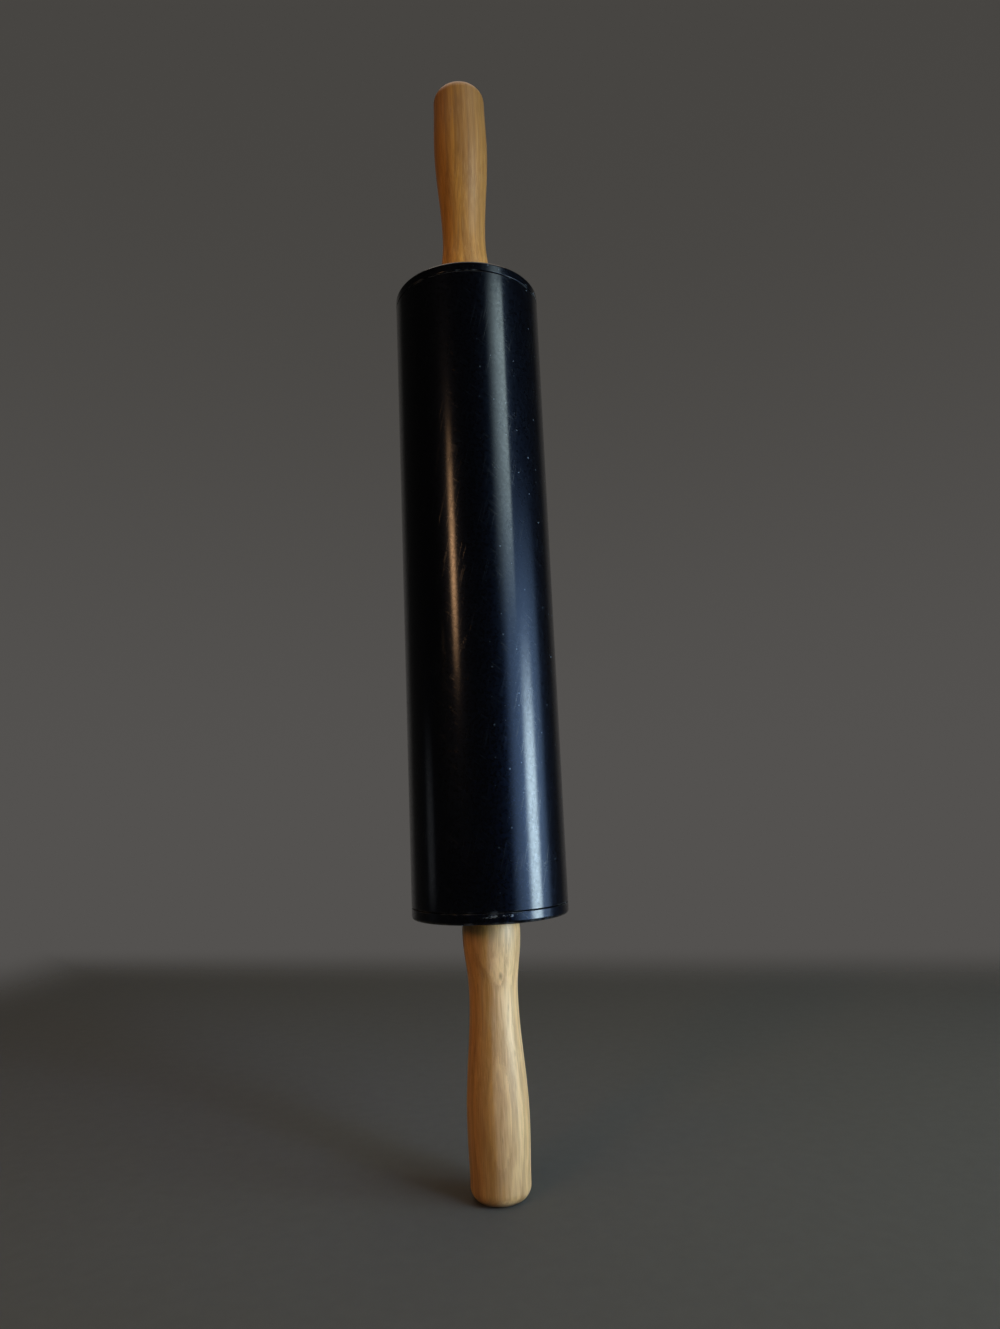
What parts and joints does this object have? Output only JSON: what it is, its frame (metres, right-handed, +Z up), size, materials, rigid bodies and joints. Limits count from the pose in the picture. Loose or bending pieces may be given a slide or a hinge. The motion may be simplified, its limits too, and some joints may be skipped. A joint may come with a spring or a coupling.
{
  "type": "rolling pin",
  "caption": "Rolling pin with a gloss black coated metal roller that spins on a ball-bearing axle between turned wooden handles.",
  "frame": {"origin": "middle of the flat end of the lower handle, on which the pin stands", "axes": "+Z up along the axle, from the lower handle to the upper one; the pin is round, so X and Y are free"},
  "size_m": [0.06, 0.06, 0.455],
  "materials": {
    "black_coating": "gloss",
    "bright_steel": "polished",
    "cage_steel": "satin",
    "spring_steel": "satin",
    "brass": "satin",
    "lacquered_wood": "satin"
  },
  "bodies": {
    "handles_and_axle": {"axle_rod": "bright_steel", "lower_handle": "lacquered_wood", "lower_threaded_insert": "brass", "lower_thrust_washer": "bright_steel", "lower_spacer_collar": "bright_steel", "lower_bearing_inner_ring": "bright_steel", "lower_circlip": "spring_steel", "upper_handle": "lacquered_wood", "upper_threaded_insert": "brass", "upper_thrust_washer": "bright_steel", "upper_spacer_collar": "bright_steel", "upper_bearing_inner_ring": "bright_steel", "upper_circlip": "spring_steel"},
    "roller": {"roller_tube": "black_coating", "lower_end_cap": "black_coating", "lower_bearing_outer_ring": "bright_steel", "lower_bearing_outer_shield": "cage_steel", "lower_bearing_inner_shield": "cage_steel", "upper_end_cap": "black_coating", "upper_bearing_outer_ring": "bright_steel", "upper_bearing_outer_shield": "cage_steel", "upper_bearing_inner_shield": "cage_steel"},
    "lower_ball_cage": {"lower_bearing_cage": "cage_steel", "lower_bearing_ball_1": "bright_steel", "lower_bearing_ball_2": "bright_steel", "lower_bearing_ball_3": "bright_steel", "lower_bearing_ball_4": "bright_steel", "lower_bearing_ball_5": "bright_steel", "lower_bearing_ball_6": "bright_steel", "lower_bearing_ball_7": "bright_steel"},
    "upper_ball_cage": {"upper_bearing_cage": "cage_steel", "upper_bearing_ball_1": "bright_steel", "upper_bearing_ball_2": "bright_steel", "upper_bearing_ball_3": "bright_steel", "upper_bearing_ball_4": "bright_steel", "upper_bearing_ball_5": "bright_steel", "upper_bearing_ball_6": "bright_steel", "upper_bearing_ball_7": "bright_steel"}
  },
  "joints": [
    {"name": "roller_spin", "type": "hinge", "parent": "handles_and_axle", "child": "roller", "pos_m": [0, 0, 0.2275], "axis": [0, 0, 1], "continuous": true},
    {"name": "lower_cage_spin", "type": "hinge", "parent": "handles_and_axle", "child": "lower_ball_cage", "pos_m": [0, 0, 0.10635], "axis": [0, 0, 1], "continuous": true},
    {"name": "upper_cage_spin", "type": "hinge", "parent": "handles_and_axle", "child": "upper_ball_cage", "pos_m": [0, 0, 0.34865], "axis": [0, 0, 1], "continuous": true}
  ],
  "couplings": [
    {"joint": "lower_cage_spin", "follows": "roller_spin", "ratio": 0.6323},
    {"joint": "upper_cage_spin", "follows": "roller_spin", "ratio": 0.6323}
  ]
}
